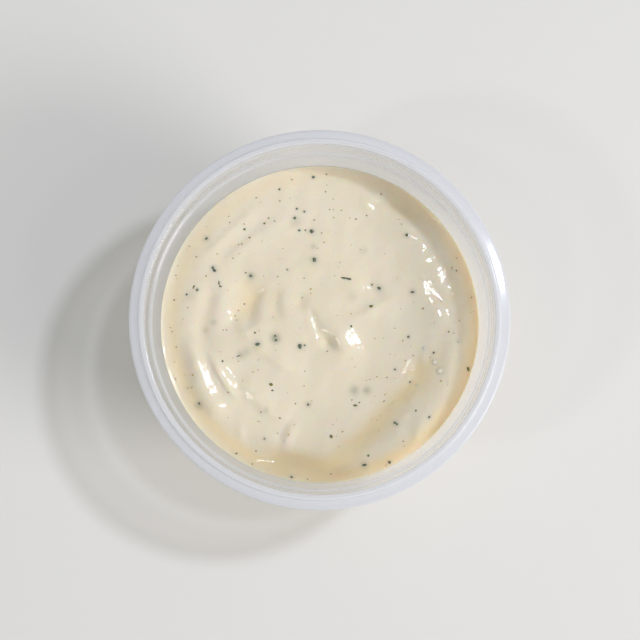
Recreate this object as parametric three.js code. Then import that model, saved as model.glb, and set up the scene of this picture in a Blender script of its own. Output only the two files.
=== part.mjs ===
// A portion of ranch dip in its clear polypropylene cup.
// Millimetres, +Z up. The origin is the centre of the cup's foot, on the surface it stands on.

import * as THREE from 'three';

// ---- Driving dimensions -------------------------------------------------------------------

// The cup.
const RIM_DIAMETER = 74;
const CUP_HEIGHT = 42;
const WALL = 0.5;
const HEEL_ROUND = 1.2;
const FOOT_INNER_RADIUS = 24.2;
const FLOOR_LIFT = 1.2;
const FLOOR_ROUND = 0.4;
const TAPER_DEGREES = 11;
const LEDGE_HEIGHT = 35.4;
const LEDGE_RADIUS = 33.0;
const LEDGE_WIDTH = 0.45;
const LID_SEAT_LEAN = 0.25;
const CREST_WIDTH = 0.95;
const CREST_STEP = 0.6;
const CREST_STEP_LEAN = 0.1;
const CREST_ROUND = 0.38;
const STEP_ROUND = 0.27;
const FLANGE_DROP = 0.3;
const LIP_DEPTH = 1.5;

// The dip.
const DIP_LEVEL = 29.3;
const DOME = 1.2;
const MENISCUS_RISE = 0.08;
const MENISCUS_WIDTH = 0.6;
const CLEARANCE = 0.3;
const DIP_HEEL_ROUND = 3;
const DIP_HEEL_BULGE_SHARE = 0.3;

// How finely the round shapes are faceted.
const SEGMENTS = 64;
const RING_STEP = 1.35;
const CORNER_STEPS = 2;
const LONGEST_MITRE = 2;

const DEGREE = Math.PI / 180;
const TAPER = Math.tan(TAPER_DEGREES * DEGREE);

// ---- Marks that the spoon left in the dip ---------------------------------------------------

// A stroke follows an arc round (x, y). Its cross-section is a soft bank or trough that is
// `inner` wide towards the arc's centre and `outer` wide away from it, and it dies away over
// `fade` degrees at both ends.
const STROKES = [
  // the deep trough along the wall, top right, and its shallow tail down the right side
  { x: 0, y: 0, radius: 29.1, from: 30, to: 72, inner: 2.6, outer: 2.6, rise: -1.25, fade: 20 },
  { x: 0, y: 0, radius: 28.8, from: 0, to: 38, inner: 2.2, outer: 2.6, rise: -0.62, fade: 14 },
  { x: 0, y: 0, radius: 32, from: -56, to: 10, inner: 3.6, outer: 1, rise: -0.35, fade: 18 },
  // the bank beside it and the fold inside the bank, both straighter than the wall
  { x: -15.6, y: -10.4, radius: 42.5, from: 22, to: 44, inner: 3, outer: 2.6, rise: 0.48, fade: 6 },
  { x: -15.6, y: -10.4, radius: 40, from: 9, to: 30, inner: 2.4, outer: 1.4, rise: 0.25, fade: 6 },
  { x: -15.6, y: -10.4, radius: 42.7, from: 10, to: 32, inner: 1.1, outer: 1.6, rise: -0.3, fade: 8 },
  // the shallow trough down the right side
  { x: 0, y: 0, radius: 25, from: -28, to: 4, inner: 2.2, outer: 1.8, rise: -0.4, fade: 14 },
  { x: 0, y: 0, radius: 28.2, from: -50, to: 22, inner: 2, outer: 2.4, rise: 0.3, fade: 20 },
  // the crescent trough, bottom right, its sharp inner edge and the bank outside it
  { x: -12.7, y: 8.3, radius: 37.2, from: -70, to: -18, inner: 2.5, outer: 3, rise: -1.5, fade: 14 },
  { x: 0, y: 0, radius: 20.9, from: -54, to: -24, inner: 1.2, outer: 0.7, rise: 0.22, fade: 10 },
  { x: 0, y: 0, radius: 29.6, from: -70, to: -26, inner: 1.6, outer: 1.8, rise: 0.4, fade: 16 },
  // the hollow along the wall, bottom left, and on up the left side
  { x: 0, y: 0, radius: 28.8, from: -128, to: -62, inner: 2.8, outer: 2.6, rise: -2, fade: 26 },
  { x: 0, y: 0, radius: 30.4, from: 142, to: 226, inner: 2.8, outer: 2.4, rise: -0.3, fade: 20 },
  // the rings on the left
  { x: 0, y: 0, radius: 23, from: 156, to: 198, inner: 1.6, outer: 1.8, rise: -0.6, fade: 16 },
  { x: 0, y: 0, radius: 22.6, from: 192, to: 226, inner: 1.6, outer: 0.7, rise: 0.85, fade: 12 },
  { x: 0, y: 0, radius: 26.4, from: 186, to: 230, inner: 1.7, outer: 1.9, rise: 1, fade: 12 },
  { x: 0, y: 0, radius: 20, from: 210, to: 258, inner: 2.8, outer: 1.1, rise: 0.5, fade: 16 },
  // the edge of the swirl in the middle
  { x: -1.6, y: 5.8, radius: 15, from: 188, to: 268, inner: 2.8, outer: 1.1, rise: 0.4, fade: 22 },
  // the folds left of the middle, steep on their right
  { x: -1, y: -1, radius: 14, from: 132, to: 184, inner: 1.9, outer: 3.8, rise: -1.1, fade: 18 },
  { x: 8, y: 2, radius: 16.8, from: 156, to: 190, inner: 1.3, outer: 2.8, rise: -0.55, fade: 12 },
  { x: 8, y: 2, radius: 11.6, from: 158, to: 186, inner: 1.1, outer: 2.2, rise: -0.35, fade: 12 },
  // faint rings, upper left
  { x: 4, y: -6, radius: 33, from: 112, to: 152, inner: 1.6, outer: 1.2, rise: 0.35, fade: 14 },
  { x: 4, y: -6, radius: 28.6, from: 108, to: 150, inner: 2, outer: 1.2, rise: 0.3, fade: 14 },
];

// A dab is an oval rise or hollow. `along` and `across` are its half sizes, and `turn` is the
// direction of its long axis. The small ones, narrower than a facet, are left out here.
const DABS = [
  // the pit in the middle
  { x: 1.3, y: -3.6, along: 2.2, across: 1, turn: 128, rise: -1.15 },
  // the peak where the spoon left, and its trail
  { x: 3.9, y: -3.8, along: 4.4, across: 2.9, turn: 106, rise: 0.95 },
  { x: 10.2, y: 1.8, along: 4.2, across: 1.6, turn: 32, rise: 0.42 },
  // a dint above the trail
  { x: 10.6, y: 6.4, along: 2.2, across: 1.4, turn: 120, rise: -0.35 },
  // small bump low on the left
  { x: -5.6, y: -23.2, along: 2.8, across: 1.1, turn: 74, rise: 0.4 },
  // small rises at the top right, low on the right and low on the left
  { x: 9.2, y: 24, along: 1.6, across: 1.2, turn: 100, rise: 0.3 },
  { x: 17.2, y: 17.6, along: 1.6, across: 1.2, turn: 110, rise: 0.3 },
  { x: 20.6, y: -19.6, along: 2.2, across: 1.2, turn: 60, rise: 0.35 },
  { x: 15.4, y: -22.4, along: 1.5, across: 1, turn: 30, rise: 0.3 },
  { x: -15.3, y: -21.8, along: 1.6, across: 1, turn: 80, rise: 0.35 },
];

// The marks wander a little off their arcs, by a wave that runs over the top.
const WANDER = 0.45;
const WANDER_X = { perX: 0.17, perY: 0.42, start: 0 };
const WANDER_Y = { perX: 0.38, perY: -0.21, start: 1.3 };

function smoothStep(value) {
  const t = Math.min(1, Math.max(0, value));
  return t * t * (3 - 2 * t);
}

function strokeHeight(stroke, x, y) {
  const dx = x - stroke.x;
  const dy = y - stroke.y;
  const offset = Math.hypot(dx, dy) - stroke.radius;
  const middle = (stroke.from + stroke.to) / 2;
  const half = (stroke.to - stroke.from) / 2;
  const turn = Math.atan2(dy, dx) / DEGREE - middle;
  const wrapped = turn - 360 * Math.round(turn / 360);
  const along = smoothStep((half - Math.abs(wrapped)) / stroke.fade);
  const width = offset < 0 ? stroke.inner : stroke.outer;
  return stroke.rise * along * Math.exp(-((offset / width) ** 2));
}

function dabHeight(dab, x, y) {
  const cosine = Math.cos(dab.turn * DEGREE);
  const sine = Math.sin(dab.turn * DEGREE);
  const dx = x - dab.x;
  const dy = y - dab.y;
  const u = (dx * cosine + dy * sine) / dab.along;
  const v = (dy * cosine - dx * sine) / dab.across;
  return dab.rise * Math.exp(-(u * u + v * v));
}

function wander(wave, x, y) {
  return WANDER * Math.sin(wave.perX * x + wave.perY * y + wave.start);
}

// ---- The cup's wall ---------------------------------------------------------------------------

function innerRadiusAt(height) {
  return LEDGE_RADIUS - (LEDGE_HEIGHT - height) * TAPER;
}

// The middle line of the wall, from the floor's centre up to the lip of the rim.
function wallLine() {
  const half = WALL / 2;
  const floorHeight = FLOOR_LIFT + half;
  const seatFoot = LEDGE_RADIUS + LEDGE_WIDTH + half;
  const seatTop = seatFoot + LID_SEAT_LEAN;
  const crestHeight = CUP_HEIGHT - half;
  const flangeFoot = seatTop + CREST_WIDTH + CREST_STEP_LEAN;
  const flangeHeight = crestHeight - CREST_STEP;
  const lipRadius = RIM_DIAMETER / 2 - half;
  const lipHeight = flangeHeight - FLANGE_DROP;
  return roundCorners([
    [0, floorHeight, 0],
    [FOOT_INNER_RADIUS - FLOOR_LIFT / 2, floorHeight, FLOOR_ROUND],
    [FOOT_INNER_RADIUS, half, 0],
    [innerRadiusAt(half) + half, half, HEEL_ROUND],
    [LEDGE_RADIUS + half, LEDGE_HEIGHT, 0],
    [seatFoot, LEDGE_HEIGHT + half, 0],
    [seatTop, crestHeight, CREST_ROUND],
    [seatTop + CREST_WIDTH, crestHeight, STEP_ROUND],
    [flangeFoot, flangeHeight, STEP_ROUND],
    [lipRadius, lipHeight, CREST_ROUND],
    [lipRadius, lipHeight - LIP_DEPTH, 0],
  ]);
}

// Each corner is [radius, height, rounding]; a rounded corner becomes a short curve.
function roundCorners(corners) {
  const line = [];
  corners.forEach(([radius, height, rounding], index) => {
    const corner = new THREE.Vector2(radius, height);
    if (rounding === 0) {
      line.push(corner);
      return;
    }
    const before = new THREE.Vector2(...corners[index - 1]).sub(corner).setLength(rounding).add(corner);
    const after = new THREE.Vector2(...corners[index + 1]).sub(corner).setLength(rounding).add(corner);
    const bend = new THREE.QuadraticBezierCurve(before, corner, after);
    line.push(...bend.getPoints(CORNER_STEPS));
  });
  return line;
}

// A copy of the line moved sideways, square to it at each point; positive is outwards and down.
function moveSideways(line, distance) {
  return line.map((point, index) => {
    const before = line[Math.max(0, index - 1)];
    const after = line[Math.min(line.length - 1, index + 1)];
    const into = point.clone().sub(before).normalize();
    const out = after.clone().sub(point).normalize();
    const along = into.clone().add(out).normalize();
    const spread = distance / Math.max(1 / LONGEST_MITRE, along.dot(index > 0 ? into : out));
    const moved = new THREE.Vector2(along.y, -along.x).multiplyScalar(spread).add(point);
    moved.x = Math.max(0, moved.x);
    return moved;
  });
}

function cupGeometry() {
  const line = wallLine();
  const outside = moveSideways(line, WALL / 2);
  const inside = moveSideways(line, -WALL / 2);
  const profile = [...outside, ...inside.reverse()];
  const geometry = new THREE.LatheGeometry(profile, SEGMENTS);
  return geometry.rotateX(Math.PI / 2);
}

// ---- The dip ----------------------------------------------------------------------------------

const edgeRadius = innerRadiusAt(DIP_LEVEL) - CLEARANCE;
const bottomHeight = FLOOR_LIFT + WALL + CLEARANCE;
const bottomRadius = innerRadiusAt(bottomHeight) - CLEARANCE;
const heelBulge = DIP_HEEL_ROUND * DIP_HEEL_BULGE_SHARE;

// The top swells a little towards its middle. The marks die away at the wall, where the dip
// clings to it and climbs a little.
function surfaceHeight(x, y) {
  const radius = Math.hypot(x, y);
  const toWall = edgeRadius - radius;
  const free = smoothStep(toWall / MENISCUS_WIDTH);
  const offX = x + wander(WANDER_X, x, y);
  const offY = y + wander(WANDER_Y, x, y);
  let marks = 0;
  STROKES.forEach((stroke) => {
    marks += strokeHeight(stroke, offX, offY);
  });
  DABS.forEach((dab) => {
    marks += dabHeight(dab, offX, offY);
  });
  const swell = DOME * (1 - (radius / edgeRadius) ** 2);
  const cling = MENISCUS_RISE * Math.exp(-toWall / MENISCUS_WIDTH);
  return DIP_LEVEL + swell + marks * free + cling;
}

// One ring of vertices round the axis, with its height worked out point by point.
function addRing(positions, radius, heightAt) {
  for (let step = 0; step < SEGMENTS; step += 1) {
    const angle = (step / SEGMENTS) * 2 * Math.PI;
    const x = radius * Math.cos(angle);
    const y = radius * Math.sin(angle);
    positions.push(x, y, heightAt(x, y));
  }
}

// Triangles from the pole to the first ring, between rings, and to the closing pole.
function ringTriangles(ringCount) {
  const indices = [];
  const closingPole = ringCount * SEGMENTS + 1;
  for (let step = 0; step < SEGMENTS; step += 1) {
    const next = (step + 1) % SEGMENTS;
    indices.push(0, 1 + step, 1 + next);
    for (let ring = 1; ring < ringCount; ring += 1) {
      const inner = 1 + (ring - 1) * SEGMENTS;
      const outer = 1 + ring * SEGMENTS;
      indices.push(inner + step, outer + step, outer + next);
      indices.push(inner + step, outer + next, inner + next);
    }
    const last = 1 + (ringCount - 1) * SEGMENTS;
    indices.push(last + step, closingPole, last + next);
  }
  return indices;
}

function dipGeometry() {
  const topRings = Math.ceil(edgeRadius / RING_STEP);
  const positions = [0, 0, surfaceHeight(0, 0)];
  for (let ring = 1; ring <= topRings; ring += 1) {
    addRing(positions, (edgeRadius * ring) / topRings, surfaceHeight);
  }
  addRing(positions, bottomRadius + DIP_HEEL_ROUND * TAPER, () => bottomHeight + DIP_HEEL_ROUND);
  addRing(positions, bottomRadius - heelBulge, () => bottomHeight + heelBulge);
  addRing(positions, bottomRadius - DIP_HEEL_ROUND, () => bottomHeight);
  positions.push(0, 0, bottomHeight);
  const geometry = new THREE.BufferGeometry();
  geometry.setAttribute('position', new THREE.Float32BufferAttribute(positions, 3));
  geometry.setIndex(ringTriangles(topRings + 3));
  geometry.computeVertexNormals();
  return geometry;
}

// ---- The model --------------------------------------------------------------------------------

function namedMesh(name, geometry, look) {
  const mesh = new THREE.Mesh(geometry, new THREE.MeshStandardMaterial(look));
  mesh.name = name;
  return mesh;
}

const clearPolypropylene = {
  color: 0xdfe3e6,
  roughness: 0.25,
  metalness: 0,
  transparent: true,
  opacity: 0.35,
};
const ranchDip = { color: 0xe4d9c0, roughness: 0.3, metalness: 0 };

const group = new THREE.Group();
group.add(namedMesh('cup', cupGeometry(), clearPolypropylene));
group.add(namedMesh('dip', dipGeometry(), ranchDip));

export default group;
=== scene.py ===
"""Ranch dip in its clear portion cup, dressed for the camera.

The cup is a thin shell of slightly milky polypropylene. The dip is one smooth body with the marks that the
spoon left, and herb flakes, pepper, spice and small bubbles lie on it and in it. Lengths in the classes are
millimetres in the part's own frame; MM turns them to metres.
"""

import logging
import math
import random
from dataclasses import dataclass, replace
from enum import Enum
from typing import Any

import bmesh
import bpy
import numpy as np
from mathutils import Matrix, Vector


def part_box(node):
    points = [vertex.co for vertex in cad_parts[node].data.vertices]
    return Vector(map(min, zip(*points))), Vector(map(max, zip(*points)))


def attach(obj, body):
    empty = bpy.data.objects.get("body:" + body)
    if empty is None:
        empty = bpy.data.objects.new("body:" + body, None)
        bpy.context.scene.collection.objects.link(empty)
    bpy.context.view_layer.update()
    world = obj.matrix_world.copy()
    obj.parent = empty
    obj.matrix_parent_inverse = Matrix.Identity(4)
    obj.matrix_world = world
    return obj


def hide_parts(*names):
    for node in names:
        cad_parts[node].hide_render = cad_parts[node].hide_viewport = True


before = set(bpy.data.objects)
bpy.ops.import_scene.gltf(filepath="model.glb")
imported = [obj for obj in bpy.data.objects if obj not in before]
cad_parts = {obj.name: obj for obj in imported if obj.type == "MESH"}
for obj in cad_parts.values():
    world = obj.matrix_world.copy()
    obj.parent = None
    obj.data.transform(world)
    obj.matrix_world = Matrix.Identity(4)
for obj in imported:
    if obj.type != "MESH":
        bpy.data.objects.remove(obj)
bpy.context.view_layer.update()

MM = 0.001
TURN = math.tau
BODY = "root"
LOG = logging.getLogger("ranch_dip")

# points of a mesh that lie closer together than this, in millimetres, are one point
MERGE_MM = 1e-3
# a Mix node's two colour inputs and its colour output
COLOUR_A, COLOUR_B, COLOUR_OUT = 6, 7, 2
# a Mix Shader node's share and the two shaders that it mixes
SHARE, FIRST, SECOND = 0, 1, 2


class Slot(Enum):
    """The record's material slots."""

    CUP = "cup"
    DIP = "dip"
    HERB = "herb"
    SPICE = "spice"


# ---- Small helpers ------------------------------------------------------------------------------


def linear(colour: str) -> tuple[float, float, float, float]:
    """Turns an sRGB hex colour into the linear RGBA that Blender's sockets take.

    Args:
        colour: "#rrggbb".

    Returns:
        Linear red, green, blue and an alpha of 1.
    """
    channels = [int(colour[i : i + 2], 16) / 255 for i in (1, 3, 5)]
    bent = [c / 12.92 if c <= 0.04045 else ((c + 0.055) / 1.055) ** 2.4 for c in channels]
    return (bent[0], bent[1], bent[2], 1.0)


def add_node(
    tree: bpy.types.NodeTree,
    kind: str,
    sockets: dict[str | int, Any] | None = None,
    links: dict[str | int, bpy.types.NodeSocket] | None = None,
    **settings: Any,
) -> bpy.types.Node:
    """Adds one node to a tree, with its settings and links.

    Args:
        tree: the node tree.
        kind: the node's type name.
        sockets: constants for its inputs, by name or number.
        links: outputs that feed its inputs, by name or number.
        **settings: the node's own properties.

    Returns:
        The new node.
    """
    node = tree.nodes.new(kind)
    for name, value in settings.items():
        setattr(node, name, value)
    for name, value in (sockets or {}).items():
        node.inputs[name].default_value = value
    for name, source in (links or {}).items():
        tree.links.new(source, node.inputs[name])
    return node


def new_material(name: str) -> tuple[bpy.types.Material, bpy.types.NodeTree]:
    """Makes an empty node material.

    Args:
        name: the material's name.

    Returns:
        The material and its node tree.
    """
    material = bpy.data.materials.new(name)
    material.use_nodes = True
    material.node_tree.nodes.clear()
    return material, material.node_tree


def smooth_step(value: np.ndarray) -> np.ndarray:
    """Eases from 0 to 1 as value goes from 0 to 1."""
    t = np.clip(value, 0.0, 1.0)
    return t * t * (3.0 - 2.0 * t)


def spin_line(line: list[tuple[float, float]], steps: int) -> bmesh.types.BMesh:
    """Spins a line of (radius, height) points in millimetres once round the Z axis.

    Args:
        line: the points, in order.
        steps: how many facets go round.

    Returns:
        A bmesh in metres, with its seam and poles merged and its faces turned the same way.
    """
    bm = bmesh.new()
    points = [bm.verts.new((radius * MM, 0.0, height * MM)) for radius, height in line]
    edges = [bm.edges.new(pair) for pair in zip(points, points[1:])]
    bmesh.ops.spin(
        bm,
        geom=points + edges,
        cent=(0, 0, 0),
        axis=(0, 0, 1),
        angle=TURN,
        steps=steps,
        use_merge=True,
    )
    bmesh.ops.remove_doubles(bm, verts=bm.verts, dist=MERGE_MM * MM)
    bmesh.ops.recalc_face_normals(bm, faces=bm.faces)
    return bm


def new_piece(name: str, bm: bmesh.types.BMesh, material: bpy.types.Material) -> bpy.types.Object:
    """Turns a finished bmesh into a smooth-shaded object at the origin.

    Args:
        name: the piece's name.
        bm: the mesh, which is freed.
        material: its material.

    Returns:
        The new object, linked to the scene.
    """
    mesh = bpy.data.meshes.new(name)
    bm.to_mesh(mesh)
    bm.free()
    mesh.materials.append(material)
    mesh.shade_smooth()
    piece = bpy.data.objects.new(name, mesh)
    bpy.context.scene.collection.objects.link(piece)
    return piece


def join_frame(piece: bpy.types.Object, slot: Slot, *nodes: str) -> bpy.types.Object:
    """Makes a piece ride on the part and reports it.

    Args:
        piece: the piece.
        slot: the record's material slot for its finish; not used.
        *nodes: the CAD nodes that it stands for, if any.

    Returns:
        The same piece.
    """
    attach(piece, BODY)
    if nodes:
        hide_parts(*nodes)
    LOG.info("%s: %d faces", piece.name, len(piece.data.polygons))
    return piece


# ---- Finishes -----------------------------------------------------------------------------------


@dataclass(frozen=True)
class HazeZone:
    """How milky the cup is at one radius: its haze, and the share of that haze which goes on forward."""

    radius: float
    haze: float
    forward: float


CUP_ZONES = (
    # the floor and the wall
    HazeZone(28.0, 0.24, 0.80),
    HazeZone(32.9, 0.30, 0.78),
    # the stacking ledge
    HazeZone(33.1, 0.65, 0.70),
    HazeZone(33.5, 0.65, 0.70),
    # the lid seat's upright wall
    HazeZone(33.6, 0.14, 0.70),
    HazeZone(33.95, 0.14, 0.70),
    # the crest
    HazeZone(34.1, 0.78, 0.55),
    HazeZone(34.6, 0.82, 0.55),
    # the step outside it
    HazeZone(34.8, 0.97, 0.42),
    HazeZone(35.0, 0.97, 0.42),
    # the flange and the lip
    HazeZone(35.15, 0.80, 0.50),
    HazeZone(36.5, 0.80, 0.50),
    HazeZone(36.8, 0.92, 0.40),
)


@dataclass(frozen=True)
class MilkyPolypropylene:
    """Clear injection-moulded polypropylene: it passes most light, mirrors more of it the flatter it is
    seen, and its haze scatters some forward and some back, as a cool milky film, pale over a shadow."""

    # with an even blend, Facing is 1 less the cosine of the view, and plastic mirrors by this power of it
    EVEN_BLEND = 0.5
    MIRROR_POWER = 5.0

    sent_back: str = "#f0f4fd"
    passed_on: str = "#fbfbfd"
    passed: str = "#fffefb"
    zones: tuple[HazeZone, ...] = CUP_ZONES
    roughness: float = 0.14
    ior: float = 1.49
    head_on_gloss: float = 0.04
    edge_on_gloss: float = 0.35
    skin_roughness: float = 0.09

    def build(self) -> bpy.types.Material:
        """Mixes a clear sheet, which mirrors by the angle it is seen at, with its milky haze.

        Returns:
            The material.
        """
        material, tree = new_material("milky_polypropylene")
        clear = add_node(tree, "ShaderNodeBsdfTransparent", sockets={"Color": linear(self.passed)})
        skin = add_node(tree, "ShaderNodeBsdfAnisotropic", sockets={"Roughness": self.skin_roughness})
        edge_on = add_node(tree, "ShaderNodeLayerWeight", sockets={"Blend": self.EVEN_BLEND})
        steep = add_node(
            tree,
            "ShaderNodeMath",
            operation="POWER",
            sockets={1: self.MIRROR_POWER},
            links={0: edge_on.outputs["Facing"]},
        )
        gloss = add_node(
            tree,
            "ShaderNodeMath",
            operation="MULTIPLY_ADD",
            sockets={1: self.edge_on_gloss - self.head_on_gloss, 2: self.head_on_gloss},
            links={0: steep.outputs[0]},
        )
        sheet = add_node(
            tree,
            "ShaderNodeMixShader",
            links={SHARE: gloss.outputs[0], FIRST: clear.outputs[0], SECOND: skin.outputs[0]},
        )
        back = add_node(
            tree,
            "ShaderNodeBsdfPrincipled",
            sockets={"Base Color": linear(self.sent_back), "Roughness": self.roughness, "IOR": self.ior},
        )
        onward = add_node(tree, "ShaderNodeBsdfTranslucent", sockets={"Color": linear(self.passed_on)})
        place = add_node(tree, "ShaderNodeTexCoord").outputs["Object"]
        flat = add_node(
            tree,
            "ShaderNodeVectorMath",
            operation="MULTIPLY",
            sockets={1: (1.0, 1.0, 0.0)},
            links={0: place},
        )
        radius = add_node(
            tree, "ShaderNodeVectorMath", operation="LENGTH", links={0: flat.outputs["Vector"]}
        )
        haze, forward = self.by_radius(tree, radius.outputs["Value"])
        film = add_node(
            tree,
            "ShaderNodeMixShader",
            links={SHARE: forward, FIRST: back.outputs[0], SECOND: onward.outputs[0]},
        )
        mixed = add_node(
            tree,
            "ShaderNodeMixShader",
            links={SHARE: haze, FIRST: sheet.outputs[0], SECOND: film.outputs[0]},
        )
        add_node(tree, "ShaderNodeOutputMaterial", links={0: mixed.outputs[0]})
        return material

    def by_radius(
        self, tree: bpy.types.NodeTree, radius: bpy.types.NodeSocket
    ) -> tuple[bpy.types.NodeSocket, bpy.types.NodeSocket]:
        """Looks the zones up by the distance from the cup's axis.

        Args:
            tree: the material's node tree.
            radius: that distance, in metres.

        Returns:
            The haze, and the share of it that goes on forward.
        """
        inner, outer = self.zones[0].radius, self.zones[-1].radius
        place = add_node(
            tree,
            "ShaderNodeMapRange",
            sockets={"From Min": inner * MM, "From Max": outer * MM},
            links={"Value": radius},
        )
        ramp = add_node(tree, "ShaderNodeValToRGB", links={0: place.outputs[0]})
        stops = ramp.color_ramp.elements
        stops.remove(stops[1])
        for index, zone in enumerate(self.zones):
            stop = stops[0] if index == 0 else stops.new((zone.radius - inner) / (outer - inner))
            stop.color = (zone.haze, zone.forward, 0.0, 1.0)
        parts = add_node(tree, "ShaderNodeSeparateColor", links={0: ramp.outputs["Color"]})
        return parts.outputs["Red"], parts.outputs["Green"]


@dataclass(frozen=True)
class WhippedDip:
    """Thick dip of mayonnaise and buttermilk: an opaque cream emulsion that light soaks into, yellower in
    hollows and along the wall, partly for oil gathered there and partly as painted shade for the dim,
    bounced light there, with a wet gloss over a very fine grain, and grey-green stains where herbs lie just
    under."""

    cream: str = "#efe7d8"
    patch_cream: str = "#ede4cd"
    # partly oil, partly painted shade: the yellower tone of the hollows and of the band along the wall
    oil_and_shade_cream: str = "#f1ddb2"
    stain: str = "#a3a792"
    patch_mm: float = 9.0
    patch_detail: float = 2.0
    # the real grain is too fine to show, and is drawn this coarse so that it breaks up the highlights
    grain_mm: float = 1.1
    grain_detail: float = 4.0
    grain_depth_mm: float = 0.07
    soak_mm: float = 0.9
    soak_by_colour: tuple[float, float, float] = (1.0, 0.72, 0.45)
    roughness: float = 0.1
    ior: float = 1.45

    def build(self) -> bpy.types.Material:
        """Lays faint patches, the tint of oil and painted shade, and herb stains over a soaking, finely
        grained gloss.

        Returns:
            The material.
        """
        material, tree = new_material("whipped_dip")
        place = add_node(tree, "ShaderNodeTexCoord").outputs["Object"]
        patches = add_node(
            tree,
            "ShaderNodeTexNoise",
            sockets={"Scale": 1 / (self.patch_mm * MM), "Detail": self.patch_detail},
            links={"Vector": place},
        )
        cream = add_node(
            tree,
            "ShaderNodeMix",
            data_type="RGBA",
            sockets={COLOUR_A: linear(self.cream), COLOUR_B: linear(self.patch_cream)},
            links={SHARE: patches.outputs["Fac"]},
        )
        # the yellower tint in hollows and along the wall: partly oil, partly painted shade
        oil = add_node(tree, "ShaderNodeAttribute", attribute_name=RanchDip.OIL_AND_SHADE)
        oil_and_shade_colour = add_node(
            tree,
            "ShaderNodeMix",
            data_type="RGBA",
            sockets={COLOUR_B: linear(self.oil_and_shade_cream)},
            links={SHARE: oil.outputs["Fac"], COLOUR_A: cream.outputs[COLOUR_OUT]},
        )
        sunk = add_node(tree, "ShaderNodeAttribute", attribute_name=RanchDip.STAIN)
        stained = add_node(
            tree,
            "ShaderNodeMix",
            data_type="RGBA",
            sockets={COLOUR_B: linear(self.stain)},
            links={SHARE: sunk.outputs["Fac"], COLOUR_A: oil_and_shade_colour.outputs[COLOUR_OUT]},
        )
        grain = add_node(
            tree,
            "ShaderNodeTexNoise",
            sockets={"Scale": 1 / (self.grain_mm * MM), "Detail": self.grain_detail},
            links={"Vector": place},
        )
        bumps = add_node(
            tree,
            "ShaderNodeBump",
            sockets={"Strength": 1.0, "Distance": self.grain_depth_mm * MM},
            links={"Height": grain.outputs["Fac"]},
        )
        body = add_node(
            tree,
            "ShaderNodeBsdfPrincipled",
            sockets={
                "Roughness": self.roughness,
                "IOR": self.ior,
                "Subsurface Weight": 1.0,
                "Subsurface Scale": self.soak_mm * MM,
                "Subsurface Radius": self.soak_by_colour,
            },
            links={"Base Color": stained.outputs[COLOUR_OUT], "Normal": bumps.outputs[0]},
        )
        add_node(tree, "ShaderNodeOutputMaterial", links={0: body.outputs[0]})
        return material


@dataclass(frozen=True)
class SoakedSeasoning:
    """Dried herbs, ground pepper or spice soaked in dip: two mottled shades, dull under a wet skin."""

    name: str
    dark: str
    light: str
    mottle_mm: float = 0.4
    mottle_detail: float = 2.0
    roughness: float = 0.4

    def build(self) -> bpy.types.Material:
        """Mottles the two shades under a wet skin.

        Returns:
            The material.
        """
        material, tree = new_material(self.name)
        place = add_node(tree, "ShaderNodeTexCoord").outputs["Object"]
        mottle = add_node(
            tree,
            "ShaderNodeTexNoise",
            sockets={"Scale": 1 / (self.mottle_mm * MM), "Detail": self.mottle_detail},
            links={"Vector": place},
        )
        colour = add_node(
            tree,
            "ShaderNodeMix",
            data_type="RGBA",
            sockets={COLOUR_A: linear(self.dark), COLOUR_B: linear(self.light)},
            links={SHARE: mottle.outputs["Fac"]},
        )
        body = add_node(
            tree,
            "ShaderNodeBsdfPrincipled",
            sockets={"Roughness": self.roughness},
            links={"Base Color": colour.outputs[COLOUR_OUT]},
        )
        add_node(tree, "ShaderNodeOutputMaterial", links={0: body.outputs[0]})
        return material


@dataclass(frozen=True)
class MattTable:
    """A pale painted table top: an even, nearly neutral matt white."""

    colour: str = "#e8e8e8"
    uneven_colour: str = "#e6e6e5"
    patches_per_metre: float = 6.0
    roughness: float = 0.9

    def build(self) -> bpy.types.Material:
        """Gives the plain matt colour with a faint unevenness.

        Returns:
            The material.
        """
        material, tree = new_material("matt_table")
        place = add_node(tree, "ShaderNodeTexCoord").outputs["Object"]
        uneven = add_node(
            tree,
            "ShaderNodeTexNoise",
            sockets={"Scale": self.patches_per_metre},
            links={"Vector": place},
        )
        shade = add_node(
            tree,
            "ShaderNodeMix",
            data_type="RGBA",
            sockets={COLOUR_A: linear(self.colour), COLOUR_B: linear(self.uneven_colour)},
            links={SHARE: uneven.outputs["Fac"]},
        )
        body = add_node(
            tree,
            "ShaderNodeBsdfPrincipled",
            sockets={"Roughness": self.roughness},
            links={"Base Color": shade.outputs[COLOUR_OUT]},
        )
        add_node(tree, "ShaderNodeOutputMaterial", links={0: body.outputs[0]})
        return material


# ---- The cup ------------------------------------------------------------------------------------


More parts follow.
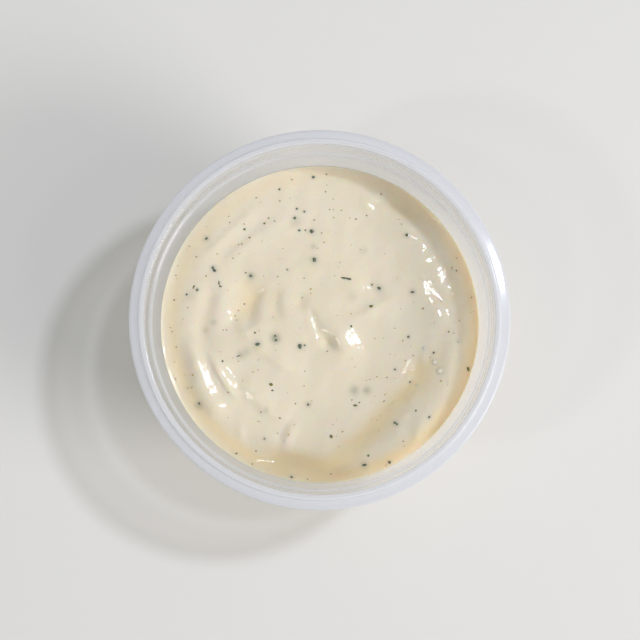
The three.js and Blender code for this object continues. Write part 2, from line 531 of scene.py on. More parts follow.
@dataclass
class PortionCup:
    """The thin cup: floor, foot ring, tapered wall, stacking ledge, lid seat and rolled rim."""

    rim_radius: float
    height: float
    wall: float = 0.5
    floor_lift: float = 1.2
    floor_round: float = 0.4
    foot_inner_radius: float = 24.2
    foot_round: float = 0.3
    heel_round: float = 1.2
    taper: float = math.tan(math.radians(11))
    ledge_height: float = 35.4
    ledge_radius: float = 33.0
    ledge_width: float = 0.45
    ledge_round: float = 0.15
    seat_lean: float = 0.25
    crest_width: float = 0.95
    crest_round: float = 0.38
    crest_step: float = 0.6
    step_lean: float = 0.1
    step_round: float = 0.27
    flange_drop: float = 0.3
    lip_depth: float = 1.5
    facets: int = 320
    corner_steps: int = 10

    def inner_radius(self, height: float) -> float:
        """Gives the tapered wall's inner radius at a height."""
        return self.ledge_radius - (self.ledge_height - height) * self.taper

    def wall_line(self) -> list[tuple[float, float]]:
        """Draws the wall's middle line from the floor's centre to the lip.

        Returns:
            The (radius, height) points of the line, with its corners rounded.
        """
        half = self.wall / 2
        floor_height = self.floor_lift + half
        seat_foot = self.ledge_radius + self.ledge_width + half
        seat_top = seat_foot + self.seat_lean
        crest_height = self.height - half
        lip_radius = self.rim_radius - half
        flange_height = crest_height - self.crest_step
        lip_height = flange_height - self.flange_drop
        step_top = seat_top + self.crest_width
        corners = [
            (0.0, floor_height, 0.0),
            (self.foot_inner_radius - self.floor_lift / 2, floor_height, self.floor_round),
            (self.foot_inner_radius, half, self.foot_round),
            (self.inner_radius(half) + half, half, self.heel_round),
            (self.ledge_radius + half, self.ledge_height, self.ledge_round),
            (seat_foot, self.ledge_height + half, self.ledge_round),
            (seat_top, crest_height, self.crest_round),
            (step_top, crest_height, self.step_round),
            (step_top + self.step_lean, flange_height, self.step_round),
            (lip_radius, lip_height, self.crest_round),
            (lip_radius, lip_height - self.lip_depth, 0.0),
        ]
        return self.round_corners(corners)

    def round_corners(self, corners: list[tuple[float, float, float]]) -> list[tuple[float, float]]:
        """Turns each corner of a line into a short curve.

        Args:
            corners: (radius, height, rounding) of each corner, in order.

        Returns:
            The points of the rounded line.
        """
        line: list[tuple[float, float]] = []
        for index, (radius, height, rounding) in enumerate(corners):
            corner = Vector((radius, height))
            if not rounding:
                line.append((radius, height))
                continue
            before = Vector(corners[index - 1][:2]) - corner
            after = Vector(corners[index + 1][:2]) - corner
            start = corner + before.normalized() * rounding
            end = corner + after.normalized() * rounding
            for step in range(self.corner_steps + 1):
                t = step / self.corner_steps
                point = start * (1 - t) ** 2 + corner * 2 * t * (1 - t) + end * t**2
                line.append((point.x, point.y))
        return line

    def build(self) -> bpy.types.Object:
        """Spins the wall's middle line and gives it its thickness.

        Returns:
            The cup's piece.
        """
        bm = spin_line(self.wall_line(), self.facets)
        piece = new_piece("cup_shell", bm, MilkyPolypropylene().build())
        shell = piece.modifiers.new("wall", "SOLIDIFY")
        shell.thickness = self.wall * MM
        shell.offset = 0.0
        shell.use_even_offset = True
        return join_frame(piece, Slot.CUP, "cup")


# ---- The dip ------------------------------------------------------------------------------------


@dataclass(frozen=True)
class Stroke:
    """A bank or trough that the spoon swept along an arc.

    It follows an arc round (x, y), is `inner` wide towards the arc's centre and `outer` wide away from it,
    and dies away over `fade` degrees at both ends.
    """

    x: float
    y: float
    radius: float
    start: float
    end: float
    inner: float
    outer: float
    rise: float
    fade: float

    def height(self, x: np.ndarray, y: np.ndarray) -> np.ndarray:
        """Gives the stroke's rise at each point.

        Args:
            x: the points' x, in millimetres.
            y: their y.

        Returns:
            The rise there, in millimetres.
        """
        dx, dy = x - self.x, y - self.y
        offset = np.hypot(dx, dy) - self.radius
        turn = np.degrees(np.arctan2(dy, dx)) - (self.start + self.end) / 2
        turn -= 360 * np.round(turn / 360)
        along = smooth_step(((self.end - self.start) / 2 - np.abs(turn)) / self.fade)
        width = np.where(offset < 0, self.inner, self.outer)
        return self.rise * along * np.exp(-((offset / width) ** 2))


@dataclass(frozen=True)
class Dab:
    """An oval rise or hollow with half sizes `along` and `across`, its long axis at `turn` degrees."""

    x: float
    y: float
    along: float
    across: float
    turn: float
    rise: float

    def height(self, x: np.ndarray, y: np.ndarray) -> np.ndarray:
        """Gives the dab's rise at each point.

        Args:
            x: the points' x, in millimetres.
            y: their y.

        Returns:
            The rise there, in millimetres.
        """
        cosine, sine = math.cos(math.radians(self.turn)), math.sin(math.radians(self.turn))
        dx, dy = x - self.x, y - self.y
        u = (dx * cosine + dy * sine) / self.along
        v = (dy * cosine - dx * sine) / self.across
        return self.rise * np.exp(-(u * u + v * v))


@dataclass(frozen=True)
class Ripple:
    """A low straight wave over the whole top, `length` from crest to crest, towards `turn` degrees."""

    length: float
    turn: float
    rise: float
    phase: float

    def height(self, x: np.ndarray, y: np.ndarray) -> np.ndarray:
        """Gives the wave's rise at each point."""
        along = x * math.cos(math.radians(self.turn)) + y * math.sin(math.radians(self.turn))
        return self.rise * np.sin(TURN * along / self.length + self.phase)


@dataclass(frozen=True)
class Waver:
    """A slow wave that moves the strokes' paths aside: how far, its radians per millimetre along x and y,
    and its phase."""

    reach: float
    by_x: float
    by_y: float
    phase: float = 0.0

    def shift(self, x: np.ndarray, y: np.ndarray) -> np.ndarray:
        """Gives how far a path moves aside at each point."""
        return self.reach * np.sin(self.by_x * x + self.by_y * y + self.phase)


def low_ripples(
    count: int, shortest: float, longest: float, steepness: float, seed: int
) -> tuple[Ripple, ...]:
    """Makes waves of many lengths and directions, which together keep the top from being too even.

    Args:
        count: how many waves.
        shortest: the shortest one's length, in millimetres.
        longest: the longest one's.
        steepness: each wave's rise as a share of its length.
        seed: the seed of their directions and phases.

    Returns:
        The waves, from the shortest to the longest.
    """
    rng = random.Random(seed)
    waves = []
    for index in range(count):
        length = shortest * (longest / shortest) ** (index / (count - 1))
        waves.append(Ripple(length, rng.uniform(0, 180), steepness * length, rng.uniform(0, TURN)))
    return tuple(waves)


# each stroke's x, y, radius, start, end, inner, outer, rise and fade
STROKES = (
    # the deep trough along the wall, top right, and its shallow tail down the right side
    Stroke(0, 0, 29.1, 30, 72, 2.6, 2.6, -1.1, 20),
    Stroke(0, 0, 28.8, 0, 38, 2.2, 2.6, -0.45, 12),
    Stroke(0, 0, 32.0, -56, 10, 3.6, 1.0, -0.25, 18),
    # the bank beside it and the fold inside the bank, both straighter than the wall
    Stroke(-15.6, -10.4, 42.4, 26, 47, 3.0, 3.0, 0.40, 7),
    Stroke(-15.6, -10.4, 40.0, 9, 29, 2.4, 1.8, 0.30, 6),
    Stroke(-15.6, -10.4, 42.9, 10, 26, 1.2, 1.6, -0.28, 6),
    # the shallow trough down the right side
    Stroke(0, 0, 25.0, -28, 4, 2.2, 1.8, -0.4, 14),
    Stroke(0, 0, 28.2, -50, 12, 2.0, 2.4, 0.22, 16),
    # the crescent trough, bottom right, its sharp inner edge and the bank outside it
    Stroke(-12.7, 8.3, 37.2, -70, -18, 2.5, 3.0, -1.5, 14),
    Stroke(0, 0, 20.9, -54, -24, 1.2, 0.7, 0.22, 10),
    Stroke(0, 0, 29.6, -70, -26, 1.6, 1.8, 0.4, 16),
    # the hollow along the wall, bottom left, and on up the left side
    Stroke(0, 0, 28.8, -128, -62, 2.8, 2.6, -2.0, 26),
    Stroke(0, 0, 30.4, 142, 226, 2.8, 2.4, -0.3, 20),
    # the rings on the left
    Stroke(0, 0, 23.0, 156, 198, 1.6, 1.8, -0.6, 16),
    Stroke(0, 0, 22.6, 192, 226, 1.6, 0.7, 0.85, 12),
    Stroke(0, 0, 26.4, 186, 230, 1.7, 1.9, 1.0, 12),
    Stroke(0, 0, 20.0, 210, 258, 2.8, 1.1, 0.5, 16),
    # the edge of the swirl in the middle
    Stroke(-1.6, 5.8, 15.0, 188, 268, 2.8, 1.1, 0.4, 22),
    # the folds left of the middle, steep on their right
    Stroke(-1, -1, 14.0, 132, 184, 1.9, 3.8, -1.1, 18),
    Stroke(8, 2, 16.8, 156, 190, 1.3, 2.8, -0.55, 12),
    Stroke(8, 2, 11.6, 158, 186, 1.1, 2.2, -0.35, 12),
    # faint rings, upper left
    Stroke(4, -6, 33.0, 112, 152, 1.6, 1.2, 0.35, 14),
    Stroke(4, -6, 28.6, 108, 150, 2.0, 1.2, 0.3, 14),
)

# each dab's x, y, along, across, turn and rise
DABS = (
    # the crease in the middle, its lip and the pit below
    Dab(-0.7, 0.4, 2.4, 0.9, 108, -0.4),
    Dab(0.2, -1.6, 1.8, 0.8, 122, 0.2),
    Dab(1.3, -3.6, 2.2, 1.0, 128, -1.15),
    # the peak where the spoon left, and its trail
    Dab(3.9, -3.8, 4.4, 2.9, 106, 0.95),
    Dab(10.2, 1.8, 4.2, 1.6, 32, 0.42),
    # scallops along the bank on the right
    Dab(20.4, 16.9, 1.8, 1.6, 117, 0.22),
    Dab(22.4, 12.4, 1.8, 1.6, 117, 0.16),
    # a dint above the trail
    Dab(10.6, 6.4, 2.2, 1.4, 120, -0.35),
    # small bump low on the left
    Dab(-5.6, -23.2, 2.8, 1.1, 74, 0.4),
    Dab(-7.2, -22.4, 2.8, 0.8, 74, -0.3),
    # small rises at the top right, low on the right and low on the left
    Dab(9.2, 24.0, 1.6, 1.2, 100, 0.3),
    Dab(17.2, 17.6, 1.6, 1.2, 110, 0.3),
    Dab(20.6, -19.6, 2.2, 1.2, 60, 0.35),
    Dab(15.4, -22.4, 1.5, 1.0, 30, 0.3),
    Dab(18.6, -15.4, 1.2, 0.8, 60, 0.28),
    Dab(17.2, -11.6, 1.2, 0.8, 50, 0.25),
    Dab(21.0, -7.4, 1.3, 0.8, 70, 0.25),
    Dab(17.4, -19.0, 1.0, 0.7, 40, 0.24),
    Dab(19.2, -22.4, 1.1, 0.7, 70, 0.24),
    Dab(21.6, -16.2, 1.0, 0.7, 50, 0.2),
    Dab(15.2, -17.0, 0.9, 0.6, 30, 0.18),
    Dab(17.8, -24.6, 1.0, 0.8, 20, 0.22),
    Dab(-15.3, -21.8, 1.6, 1.0, 80, 0.35),
)

RIPPLES = low_ripples(count=14, shortest=2.6, longest=12.0, steepness=0.0030, seed=5)
ASIDE_X = Waver(0.45, 0.17, 0.42)
ASIDE_Y = Waver(0.45, 0.38, -0.21, 1.3)


def spoon_marks(x: np.ndarray, y: np.ndarray) -> np.ndarray:
    """Adds up every mark at each point, with the strokes wavering a little off their arcs.

    Args:
        x: the points' x, in millimetres.
        y: their y.

    Returns:
        The marks' height there, in millimetres.
    """
    off_x = x + ASIDE_X.shift(x, y)
    off_y = y + ASIDE_Y.shift(x, y)
    marks = sum(mark.height(off_x, off_y) for mark in STROKES + DABS)
    return marks + sum(ripple.height(x, y) for ripple in RIPPLES)


@dataclass(frozen=True)
class Stain:
    """A herb sunk just under the top, seen as a soft patch."""

    x: float
    y: float
    size: float
    strength: float

    def strength_at(self, x: np.ndarray, y: np.ndarray) -> np.ndarray:
        """Gives how strongly the herb shows at each point."""
        return self.strength * np.exp(-((x - self.x) ** 2 + (y - self.y) ** 2) / self.size**2)


@dataclass
class RanchDip:
    """The dip: its swirled top, its foot on the cup's floor and its side just inside the wall.

    A yellower tint, partly oil and partly painted shade, lies along the wall in a band whose middle lies
    `oil_and_shade_from_wall` from it, on the right and on the left, most strongly towards
    `oil_and_shade_turn`.
    It is painted too in hollows, up to `shaded_hollow_depth` deep, as their dim, bounced light. Below the
    level it fades away between the two depths of `oil_and_shade_depth`. `heel_bend` is where the heel's
    middle point lies, in and up, as shares of its rounding, and `floor_rings` place the floor's rings, as
    shares of the heel's radius.
    """

    STAIN = "herb_stain"
    # the vertex attribute of the yellower tint: partly oil, partly painted shade
    OIL_AND_SHADE = "oil"

    cup: PortionCup
    level: float = 29.3
    dome: float = 1.2
    meniscus_rise: float = 0.08
    meniscus_width: float = 0.6
    into_wall: float = 0.15
    heel_round: float = 1.0
    heel_bend: tuple[float, float] = (0.5, 0.25)
    floor_rings: tuple[float, ...] = (1.0, 0.7, 0.4)
    side_rings: int = 14
    ring_step: float = 0.25
    facets: int = 384
    normal_reach: float = 0.15
    # the yellower tint along the wall and in hollows is partly oil, partly painted shade
    oil_and_shade_from_wall: tuple[float, float] = (1.0, 2.6)
    oil_and_shade_width: float = 1.4
    oil_and_shade_share: float = 0.8
    oil_and_shade_evenness: float = 0.65
    oil_and_shade_turn: float = math.radians(-70)
    shaded_hollow_depth: float = 1.9
    oil_and_shade_depth: tuple[float, float] = (2.6, 4.4)
    hollow_shade_share: float = 0.78
    stains: tuple[Stain, ...] = ()

    @property
    def edge_radius(self) -> float:
        """The radius at which the top meets the wall."""
        return self.cup.inner_radius(self.level) + self.into_wall

    def top_height(self, x: np.ndarray, y: np.ndarray) -> np.ndarray:
        """Gives the height of the dip's top at each point.

        Args:
            x: the points' x, in millimetres.
            y: their y.

        Returns:
            The height there, in millimetres.
        """
        to_wall = np.maximum(self.edge_radius - np.hypot(x, y), 0.0)
        marks = spoon_marks(x, y) * smooth_step(to_wall / self.meniscus_width)
        cling = self.meniscus_rise * np.exp(-to_wall / self.meniscus_width)
        return self.swell_height(x, y) + marks + cling

    def swell_height(self, x: np.ndarray, y: np.ndarray) -> np.ndarray:
        """Gives the height of the top without its marks, which swells a little in the middle."""
        return self.level + self.dome * (1 - (np.hypot(x, y) / self.edge_radius) ** 2)

    def top_point(self, x: float, y: float) -> tuple[Vector, Vector]:
        """Finds the point of the top over a place.

        Args:
            x: the place's x, in millimetres.
            y: its y.

        Returns:
            The point, in millimetres, and the top's normal there.
        """
        reach = self.normal_reach
        xs = np.array([x, x + reach, x - reach, x, x], float)
        ys = np.array([y, y, y, y + reach, y - reach], float)
        z = self.top_height(xs, ys)
        normal = Vector((z[2] - z[1], z[4] - z[3], 2 * reach)).normalized()
        return Vector((x, y, float(z[0]))), normal

    def side_point(self, turn: float, share: float) -> tuple[Vector, Vector]:
        """Finds a point of the side.

        Args:
            turn: its turn round the axis, in radians.
            share: its height as a share of the side's.

        Returns:
            The point, in millimetres, and the side's normal there.
        """
        height = self.cup.floor_lift + share * (self.level - self.cup.floor_lift)
        out = Vector((math.cos(turn), math.sin(turn), 0.0))
        radius = self.cup.inner_radius(height) + self.into_wall
        normal = (out - Vector((0, 0, self.cup.taper))).normalized()
        return out * radius + Vector((0, 0, height)), normal

    def section(self) -> list[tuple[float, float]]:
        """Draws half of the dip's section.

        Returns:
            Its (radius, height) points, from the top's centre round to the bottom's.
        """
        rings = round(self.edge_radius / self.ring_step)
        top = [(self.edge_radius * i / rings, self.level) for i in range(rings + 1)]
        bottom = self.cup.floor_lift + self.cup.wall - self.into_wall
        heel = bottom + self.heel_round
        side = [
            (self.cup.inner_radius(height) + self.into_wall, height)
            for height in np.linspace(self.level, heel, self.side_rings)[1:]
        ]
        heel_radius = self.cup.inner_radius(heel) + self.into_wall
        bend_in, bend_up = self.heel_bend
        foot = [(heel_radius - self.heel_round * bend_in, bottom + self.heel_round * bend_up)]
        floor = [(heel_radius * share - self.heel_round, bottom) for share in self.floor_rings]
        return top + side + foot + floor + [(0.0, bottom)]

    def build(self) -> bpy.types.Object:
        """Spins the section, lifts its top to the spoon's marks and notes its oil, its painted shade and its
        sunk herbs.

        Returns:
            The dip's piece.
        """
        bm = spin_line(self.section(), self.facets)
        top = [v for v in bm.verts if v.co.z > (self.level - MERGE_MM) * MM]
        x = np.array([v.co.x for v in top]) / MM
        y = np.array([v.co.y for v in top]) / MM
        for vert, height in zip(top, self.top_height(x, y)):
            vert.co.z = float(height) * MM
        piece = new_piece("ranch_dip", bm, WhippedDip().build())
        self.mark_colours(piece.data)
        return join_frame(piece, Slot.DIP, "dip")

    def mark_colours(self, mesh: bpy.types.Mesh) -> None:
        """Writes at each vertex how strongly it takes the yellower tint of oil and painted shade, and how
        strongly a sunk herb shows.

        Args:
            mesh: the dip's mesh.
        """
        co = np.empty(len(mesh.vertices) * 3, np.float32)
        mesh.vertices.foreach_get("co", co)
        x, y, z = co.reshape(-1, 3).T / MM
        to_wall = np.maximum(self.edge_radius - np.hypot(x, y), 0.0)
        turn = np.arctan2(y, x)
        right, left = self.oil_and_shade_from_wall
        middle = (right + left) / 2 + (right - left) / 2 * np.cos(turn)
        # the band along the wall: partly oil, partly painted shade
        edge = np.exp(-(((to_wall - middle) / self.oil_and_shade_width) ** 2))
        even = self.oil_and_shade_evenness
        edge *= self.oil_and_shade_share * (even + (1 - even) * np.cos(turn - self.oil_and_shade_turn))
        # painted shade: hollows take the yellower tone that stands for the dim, bounced light inside them
        hollow = self.hollow_shade_share * smooth_step((self.swell_height(x, y) - z) / self.shaded_hollow_depth)
        least, most = self.oil_and_shade_depth
        near_top = 1 - smooth_step((self.level - z - least) / (most - least))
        stains = np.max([stain.strength_at(x, y) for stain in self.stains], axis=0)
        for name, values in (
            (self.OIL_AND_SHADE, near_top * np.maximum(edge, hollow)),
            (self.STAIN, near_top * stains),
        ):
            layer = mesh.attributes.new(name, "FLOAT", "POINT")
            layer.data.foreach_set("value", values.astype(np.float32))


# ---- What is scattered in the dip ---------------------------------------------------------------


@dataclass(frozen=True)
class Bit:
    """One bit on the top: its place, its half length and half width, and its turn in degrees."""

    HALO_GROWTH = 1.9
    HALO_STRENGTH = 0.38

    x: float
    y: float
    along: float
    across: float
    turn: float = 0.0

    def halo(self) -> Stain:
        """Gives the faint tint that a flake lends the dip round it."""
        return Stain(self.x, self.y, self.along * self.HALO_GROWTH, self.HALO_STRENGTH)


# each sunk herb's x, y, size and strength
SUNK_HERBS = (
    Stain(-8.9, -3.1, 0.9, 0.75),
    Stain(-15.6, -6.3, 1.0, 0.4),
    Stain(-14.8, -5.8, 0.9, 0.35),
    Stain(-13.8, 9.5, 0.7, 0.6),
    Stain(6.9, -13.5, 0.9, 0.5),
    Stain(9.4, -13.5, 0.8, 0.55),
    Stain(-24.1, -16.5, 0.9, 0.5),
    Stain(-22.9, -1.4, 0.7, 0.25),
    Stain(-21.2, 0.2, 0.6, 0.35),
    Stain(-1.3, 15.4, 0.6, 0.3),
    Stain(-10.6, -17.4, 0.6, 0.3),
    Stain(-2.3, -16.3, 0.6, 0.45),
    Stain(-4.9, 20.4, 1.2, 0.25),
    Stain(9.0, 14.5, 0.8, 0.2),
    Stain(6.6, 5.2, 1.0, 0.2),
    Stain(-26.0, 5.5, 1.2, 0.2),
)

# from here on, each bit's x, y, half length, half width and turn
HERB_FLAKES = (
    Bit(-1.6, 18.5, 0.34, 0.42),
    Bit(-1.1, 12.7, 0.50, 0.32, 80),
    Bit(-21.4, 11.1, 0.34, 0.26, 130),
    Bit(-21.1, 10.6, 0.30, 0.24, 20),
    Bit(-24.6, 6.7, 0.24, 0.22),
    Bit(-26.7, 5.8, 0.20, 0.18),
    Bit(11.9, 7.0, 0.34, 0.22, -20),
    Bit(10.5, 7.7, 0.20, 0.14),
    Bit(18.6, 6.2, 0.38, 0.18, 10),
    Bit(17.5, 17.7, 0.34, 0.24, 15),
    Bit(-5.0, 21.2, 0.30, 0.22, 30),
    Bit(-4.1, 18.7, 0.22, 0.18),
    Bit(-3.1, 22.5, 0.20, 0.18),
    Bit(-4.6, 23.1, 0.20, 0.16),
    Bit(-22.8, 17.1, 0.34, 0.20, 30),
    Bit(-1.3, 29.6, 0.26, 0.24),
    Bit(-12.4, -4.3, 0.46, 0.30, 12),
    Bit(-3.9, -4.7, 0.40, 0.50, 10),
    Bit(-3.0, -4.5, 0.18, 0.14),
    Bit(15.0, -19.9, 0.26, 0.22, -10),
    Bit(15.4, -20.2, 0.24, 0.18, -60),
    Bit(-8.9, -2.6, 0.22, 0.16, 60),
    Bit(-8.7, -3.5, 0.26, 0.18, 0),
    Bit(8.9, -28.3, 0.42, 0.20, 8),
    Bit(13.9, -27.8, 0.26, 0.30),
    Bit(22.8, -5.9, 0.20, 0.20),
    Bit(17.7, -2.8, 0.22, 0.20),
    Bit(15.0, -9.3, 0.20, 0.18),
    Bit(18.1, -11.7, 0.20, 0.18),
    Bit(-2.3, -16.3, 0.26, 0.20, 40),
    Bit(-24.0, -16.1, 0.30, 0.22, 120),
    Bit(-11.0, -23.1, 0.20, 0.16),
    Bit(-5.6, -30.7, 0.26, 0.20),
    Bit(21.8, -18.8, 0.22, 0.20),
    Bit(-13.8, 9.5, 0.26, 0.20, 20),
    Bit(-6.5, 10.7, 0.16, 0.14),
)

OLIVE_FLAKES = (
    Bit(-20.2, 8.1, 0.40, 0.16, 105),
    Bit(-19.9, 7.4, 0.30, 0.18, 150),
    Bit(-25.3, 7.3, 0.38, 0.14, 65),
    Bit(10.3, 3.3, 0.40, 0.28),
    Bit(-15.1, 18.9, 0.26, 0.22),
    Bit(-11.1, 20.1, 0.26, 0.20),
    Bit(-14.1, 17.2, 0.20, 0.16),
    Bit(-9.7, -12.3, 0.40, 0.28),
    Bit(-9.4, -13.5, 0.24, 0.18),
    Bit(7.1, -16.5, 0.50, 0.20, -3),
    Bit(7.9, -15.9, 0.18, 0.12, 30),
    Bit(2.3, -22.6, 0.28, 0.38),
    Bit(9.7, -26.4, 0.24, 0.20),
    Bit(29.7, -9.2, 0.26, 0.44, 10),
    Bit(-12.9, -2.0, 0.24, 0.18),
    Bit(19.2, -17.5, 0.20, 0.18),
    Bit(-16.6, -26.0, 0.24, 0.16),
    Bit(-8.1, 27.1, 0.20, 0.20),
    Bit(-10.3, 21.2, 0.16, 0.14),
)

SLIVERS = (
    Bit(5.0, 9.0, 0.80, 0.17, -6),
    Bit(5.9, 8.8, 0.50, 0.20, -4),
    Bit(-16.2, -6.6, 0.50, 0.10, 25),
    Bit(12.8, -15.6, 0.30, 0.08, 40),
)

PEPPER = (
    Bit(-15.1, 3.9, 0.20, 0.18),
    Bit(-18.2, -13.9, 0.22, 0.16, 20),
    Bit(-7.9, -19.0, 0.22, 0.20),
    Bit(-4.8, -16.1, 0.18, 0.18),
    Bit(2.2, -30.1, 0.20, 0.18),
    Bit(12.4, 26.2, 0.22, 0.18),
    Bit(1.2, 26.6, 0.18, 0.18),
    Bit(1.4, 30.2, 0.20, 0.16),
    Bit(7.3, 21.0, 0.20, 0.18),
    Bit(-29.2, 4.7, 0.20, 0.18),
    Bit(-28.9, 9.7, 0.16, 0.16),
    Bit(-24.8, 13.4, 0.18, 0.16),
    Bit(-17.4, 13.0, 0.16, 0.16),
    Bit(-15.6, 15.9, 0.18, 0.16),
    Bit(-22.8, 9.5, 0.18, 0.16),
    Bit(-18.1, 20.3, 0.16, 0.14),
    Bit(-18.3, 21.6, 0.16, 0.14),
    Bit(-12.8, 25.4, 0.18, 0.16),
    Bit(-5.6, 29.1, 0.18, 0.16),
    Bit(-8.0, 24.7, 0.18, 0.16),
    Bit(-1.1, 20.8, 0.18, 0.16),
    Bit(2.0, 22.9, 0.16, 0.14),
    Bit(2.8, 21.3, 0.16, 0.14),
    Bit(-16.3, 2.6, 0.14, 0.14),
    Bit(-16.9, 1.5, 0.16, 0.12),
    Bit(-19.3, -1.4, 0.14, 0.12),
    Bit(-18.6, -1.4, 0.14, 0.12),
    Bit(-26.3, -13.0, 0.16, 0.14),
    Bit(-25.5, -12.9, 0.14, 0.14),
    Bit(-28.7, -4.8, 0.16, 0.14),
    Bit(-13.4, -28.1, 0.18, 0.16),
    Bit(-12.7, -25.5, 0.18, 0.18),
    Bit(-8.4, -22.0, 0.16, 0.14),
    Bit(1.5, -5.7, 0.18, 0.16),
    Bit(18.7, -6.5, 0.16, 0.16),
    Bit(17.1, -7.5, 0.16, 0.14),
    Bit(13.4, -10.9, 0.18, 0.16),
    Bit(11.4, -10.8, 0.16, 0.14),
    Bit(25.8, -1.7, 0.18, 0.18),
    Bit(30.5, 5.2, 0.18, 0.16),
    Bit(27.6, 13.2, 0.16, 0.14),
    Bit(16.6, -23.6, 0.16, 0.14),
    Bit(-3.5, 5.1, 0.16, 0.14),
    Bit(-8.4, 9.3, 0.16, 0.14),
    Bit(0.9, 16.2, 0.16, 0.14),
    Bit(16.5, 20.0, 0.16, 0.14),
    Bit(-3.1, -12.6, 0.14, 0.14),
    Bit(6.4, -15.4, 0.16, 0.14),
    Bit(-2.4, -31.1, 0.18, 0.16),
)

SPICE_GRAINS = (
    Bit(20.7, 2.9, 0.22, 0.20),
    Bit(24.2, -11.6, 0.22, 0.18),
    Bit(-25.3, -10.4, 0.20, 0.18),
    Bit(-1.8, 6.8, 0.20, 0.18),
    Bit(26.6, 11.3, 0.20, 0.16),
    Bit(-6.2, -22.3, 0.20, 0.16),
    Bit(13.0, -14.3, 0.16, 0.14),
    Bit(-13.3, -9.8, 0.16, 0.14),
    Bit(13.2, -28.4, 0.18, 0.14),
    Bit(16.6, -3.5, 0.16, 0.14),
    Bit(-12.2, -7.4, 0.14, 0.12),
    Bit(6.3, 1.8, 0.14, 0.12),
)

BUBBLES = (
    Bit(22.95, -7.8, 0.50, 0.50),
    Bit(20.9, -5.0, 0.34, 0.34),
    Bit(24.0, -9.5, 0.62, 0.56),
    Bit(27.7, -3.6, 0.30, 0.30),
    Bit(19.4, -12.3, 0.22, 0.22),
)


@dataclass(frozen=True)
class BitForm:
    """A bit's form: its thickness as a share of its width, its raggedness, and how fine its facets are."""

    flatness: float
    raggedness: float
    finesse: int


@dataclass
class Scatter:
    """Bits of one kind, joined in one piece and pressed into the dip.

    `hand` bits lie where they are seen. `strewn` more lie anywhere on the top, at least `from_wall` from its
    edge. `beside` more lie against the wall, between the shares `beside_span` of the side's height, pressed
    `beside_growth` times as wide. `sizes` bound a bit's half length, and `slimness` its width as a share of
    that. `lift` is how far its middle stands over the surface, as a share of its half thickness.
    """

    name: str
    slot: Slot
    finish: SoakedSeasoning | WhippedDip
    form: BitForm
    hand: tuple[Bit, ...]
    strewn: int
    beside: int
    sizes: tuple[float, float]
    seed: int
    lift: float = 0.1
    slimness: tuple[float, float] = (0.6, 0.95)
    from_wall: float = 1.0
    beside_growth: float = 1.6
    beside_span: tuple[float, float] = (0.1, 0.97)

    def build(self, dip: RanchDip) -> bpy.types.Object:
        """Presses every bit into the dip and joins them.

        Args:
            dip: the dip that they lie in.

        Returns:
            The joined piece.
        """
        rng = random.Random(self.seed)
        bm = bmesh.new()
        for bit in self.hand + self.strew(rng, dip):
            self.add_bit(bm, rng, bit, *dip.top_point(bit.x, bit.y))
        growth = self.beside_growth
        for _ in range(self.beside):
            bit = self.random_bit(rng, 0.0, 0.0)
            bit = replace(bit, along=bit.along * growth, across=bit.across * growth)
            spot = dip.side_point(rng.uniform(0, TURN), rng.uniform(*self.beside_span))
            self.add_bit(bm, rng, bit, *spot)
        piece = new_piece(self.name, bm, self.finish.build())
        return join_frame(piece, self.slot)

    def strew(self, rng: random.Random, dip: RanchDip) -> tuple[Bit, ...]:
        """Picks places for the strewn bits, evenly over the top's area.

        Args:
            rng: the piece's own random draw.
            dip: the dip that they lie on.

        Returns:
            The bits.
        """
        bits = []
        for _ in range(self.strewn):
            reach = (dip.edge_radius - self.from_wall) * math.sqrt(rng.random())
            turn = rng.uniform(0, TURN)
            bits.append(self.random_bit(rng, reach * math.cos(turn), reach * math.sin(turn)))
        return tuple(bits)

    def random_bit(self, rng: random.Random, x: float, y: float) -> Bit:
        """Draws a bit of a random size and turn, small ones more often.

        Args:
            rng: the piece's own random draw.
            x: the bit's x, in millimetres.
            y: its y.

        Returns:
            The bit.
        """
        low, high = self.sizes
        along = low + (high - low) * rng.random() ** 2
        return Bit(x, y, along, along * rng.uniform(*self.slimness), rng.uniform(0, 180))

    def add_bit(
        self, bm: bmesh.types.BMesh, rng: random.Random, bit: Bit, point: Vector, normal: Vector
    ) -> None:
        """Adds one ragged bit to the mesh, lying flat on the surface.

        Args:
            bm: the mesh of the piece.
            rng: the piece's own random draw.
            bit: the bit.
            point: the surface's point under it, in millimetres.
            normal: the surface's normal there.
        """
        thick = bit.across * self.form.flatness
        lie = Vector((0, 0, 1)).rotation_difference(normal).to_matrix().to_4x4()
        centre = (point + normal * thick * self.lift) * MM
        shape = Matrix.Diagonal((bit.along * MM, bit.across * MM, thick * MM, 1.0))
        place = Matrix.Translation(centre) @ lie @ Matrix.Rotation(math.radians(bit.turn), 4, "Z") @ shape
        ball = bmesh.ops.create_icosphere(bm, subdivisions=self.form.finesse, radius=1.0, matrix=place)
        ragged = self.form.raggedness
        for vert in ball["verts"]:
            vert.co = centre + (vert.co - centre) * (1 + rng.uniform(-ragged, ragged))


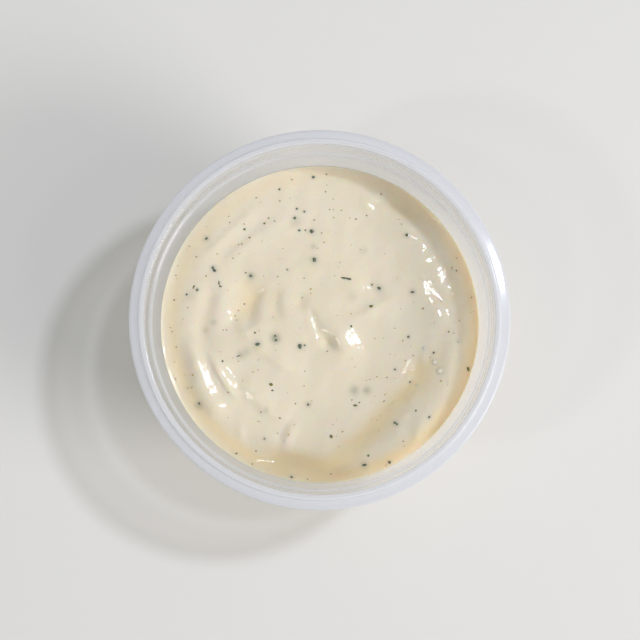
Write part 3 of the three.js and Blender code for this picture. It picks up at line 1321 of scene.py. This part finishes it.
def kinds_of_bits() -> tuple[Scatter, ...]:
    """Lists what is scattered in the dip.

    Returns:
        One entry for each kind, and so for each piece.
    """
    green = SoakedSeasoning("dried_herb_green", "#434b3b", "#7b866c")
    olive = SoakedSeasoning("dried_herb_olive", "#53561e", "#8f9046")
    brown = SoakedSeasoning("ground_pepper", "#86713f", "#b5a06c")
    amber = SoakedSeasoning("ground_spice", "#b08c38", "#d9b65c")
    skin = WhippedDip(grain_depth_mm=0.0, roughness=0.12)
    leaf = BitForm(flatness=0.35, raggedness=0.3, finesse=2)
    stalk = BitForm(flatness=0.6, raggedness=0.15, finesse=2)
    crumb = BitForm(flatness=0.6, raggedness=0.2, finesse=1)
    grain = BitForm(flatness=0.7, raggedness=0.2, finesse=1)
    blister = BitForm(flatness=0.8, raggedness=0.0, finesse=3)
    # the numbers are how many are strewn, how many lie beside the wall, and their least and most half length
    return (
        Scatter("herb_flakes", Slot.HERB, green, leaf, HERB_FLAKES, 4, 46, (0.12, 0.24), seed=11),
        Scatter("olive_flakes", Slot.HERB, olive, leaf, OLIVE_FLAKES, 6, 34, (0.12, 0.22), seed=12),
        Scatter("herb_slivers", Slot.HERB, green, stalk, SLIVERS, 0, 7, (0.30, 0.50), seed=13),
        Scatter("pepper_specks", Slot.SPICE, brown, crumb, PEPPER, 110, 150, (0.09, 0.17), seed=14),
        Scatter("spice_grains", Slot.SPICE, amber, grain, SPICE_GRAINS, 16, 24, (0.08, 0.15), seed=15),
        Scatter("bubbles", Slot.DIP, skin, blister, BUBBLES, 0, 0, (0.2, 0.3), seed=16),
    )


# ---- The table, the light and the camera --------------------------------------------------------


@dataclass(frozen=True)
class Lamp:
    """A round soft lamp, seen from the cup: its direction, its angle from straight up, the degrees that it
    spans and its power."""

    name: str
    azimuth: float
    from_vertical: float
    span: float
    power: float
    colour: str = "#ffffff"


@dataclass
class Studio:
    """A pale table under three soft lamps and an even sky, seen almost straight from above.

    Lengths are metres here, but `aim`, the point that the camera looks at, and the camera's lens and sensor
    are millimetres.
    """

    lamps: tuple[Lamp, ...] = (
        Lamp("lamp_right", 25.0, 30.0, 5.0, 3.6, "#eef4ff"),
        Lamp("window", 338.0, 57.0, 24.0, 6.9, "#fff8f4"),
        Lamp("lamp_low_left", 205.0, 40.0, 6.0, 0.95),
    )
    lamp_distance: float = 1.2
    sky: float = 0.42
    sky_colour: str = "#fffffa"
    aim: tuple[float, float, float] = (0.06, -0.27, 40.0)
    camera_distance: float = 0.33
    camera_azimuth: float = 270.0
    camera_elevation: float = 85.0
    lens: float = 95.6
    sensor: float = 36.0
    nearest: float = 0.01
    table_size: float = 6.0

    def build(self) -> None:
        """Lays the table, hangs the lamps and places the camera."""
        self.lay_table()
        for lamp in self.lamps:
            self.hang_lamp(lamp)
        self.light_sky()
        self.place_camera()

    def lay_table(self) -> None:
        """Lays the table top under the cup."""
        bm = bmesh.new()
        bmesh.ops.create_grid(bm, x_segments=2, y_segments=2, size=self.table_size / 2)
        new_piece("table_top", bm, MattTable().build())

    def hang_lamp(self, lamp: Lamp) -> None:
        """Hangs one lamp, turned towards the cup.

        Args:
            lamp: the lamp.
        """
        data = bpy.data.lights.new(lamp.name, "AREA")
        data.shape = "DISK"
        data.size = 2 * self.lamp_distance * math.tan(math.radians(lamp.span / 2))
        data.energy = lamp.power
        data.color = linear(lamp.colour)[:3]
        light = bpy.data.objects.new(lamp.name, data)
        away = self.direction(lamp.azimuth, 90 - lamp.from_vertical)
        light.location = away * self.lamp_distance
        light.rotation_euler = away.to_track_quat("Z", "Y").to_euler()
        bpy.context.scene.collection.objects.link(light)

    @staticmethod
    def direction(azimuth: float, elevation: float) -> Vector:
        """Gives the unit vector towards an azimuth (from +X, anticlockwise) and an elevation."""
        turn, rise = math.radians(azimuth), math.radians(elevation)
        return Vector((math.cos(rise) * math.cos(turn), math.cos(rise) * math.sin(turn), math.sin(rise)))

    def light_sky(self) -> None:
        """Lights the scene evenly from all round."""
        world = bpy.data.worlds.new("even_sky")
        world.use_nodes = True
        sky = world.node_tree.nodes["Background"]
        sky.inputs["Color"].default_value = linear(self.sky_colour)
        sky.inputs["Strength"].default_value = self.sky
        bpy.context.scene.world = world

    def place_camera(self) -> None:
        """Places the camera and picks the plain view of colours."""
        data = bpy.data.cameras.new("camera")
        data.lens = self.lens
        data.sensor_width = self.sensor
        data.clip_start = self.nearest
        camera = bpy.data.objects.new("camera", data)
        away = self.direction(self.camera_azimuth, self.camera_elevation)
        camera.location = Vector(self.aim) * MM + away * self.camera_distance
        camera.rotation_euler = away.to_track_quat("Z", "Y").to_euler()
        scene = bpy.context.scene
        scene.collection.objects.link(camera)
        scene.camera = camera
        scene.view_settings.view_transform = "Standard"


def main() -> None:
    """Builds the table and the light, then the cup, the dip and what is scattered in it."""
    logging.basicConfig(level=logging.INFO, format="%(name)s: %(message)s")
    _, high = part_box("cup")
    Studio().build()
    cup = PortionCup(rim_radius=high.x / MM, height=high.z / MM)
    cup.build()
    dip = RanchDip(cup, stains=SUNK_HERBS + tuple(flake.halo() for flake in HERB_FLAKES))
    dip.build()
    for kind in kinds_of_bits():
        kind.build(dip)


if __name__ == "__main__":
    main()
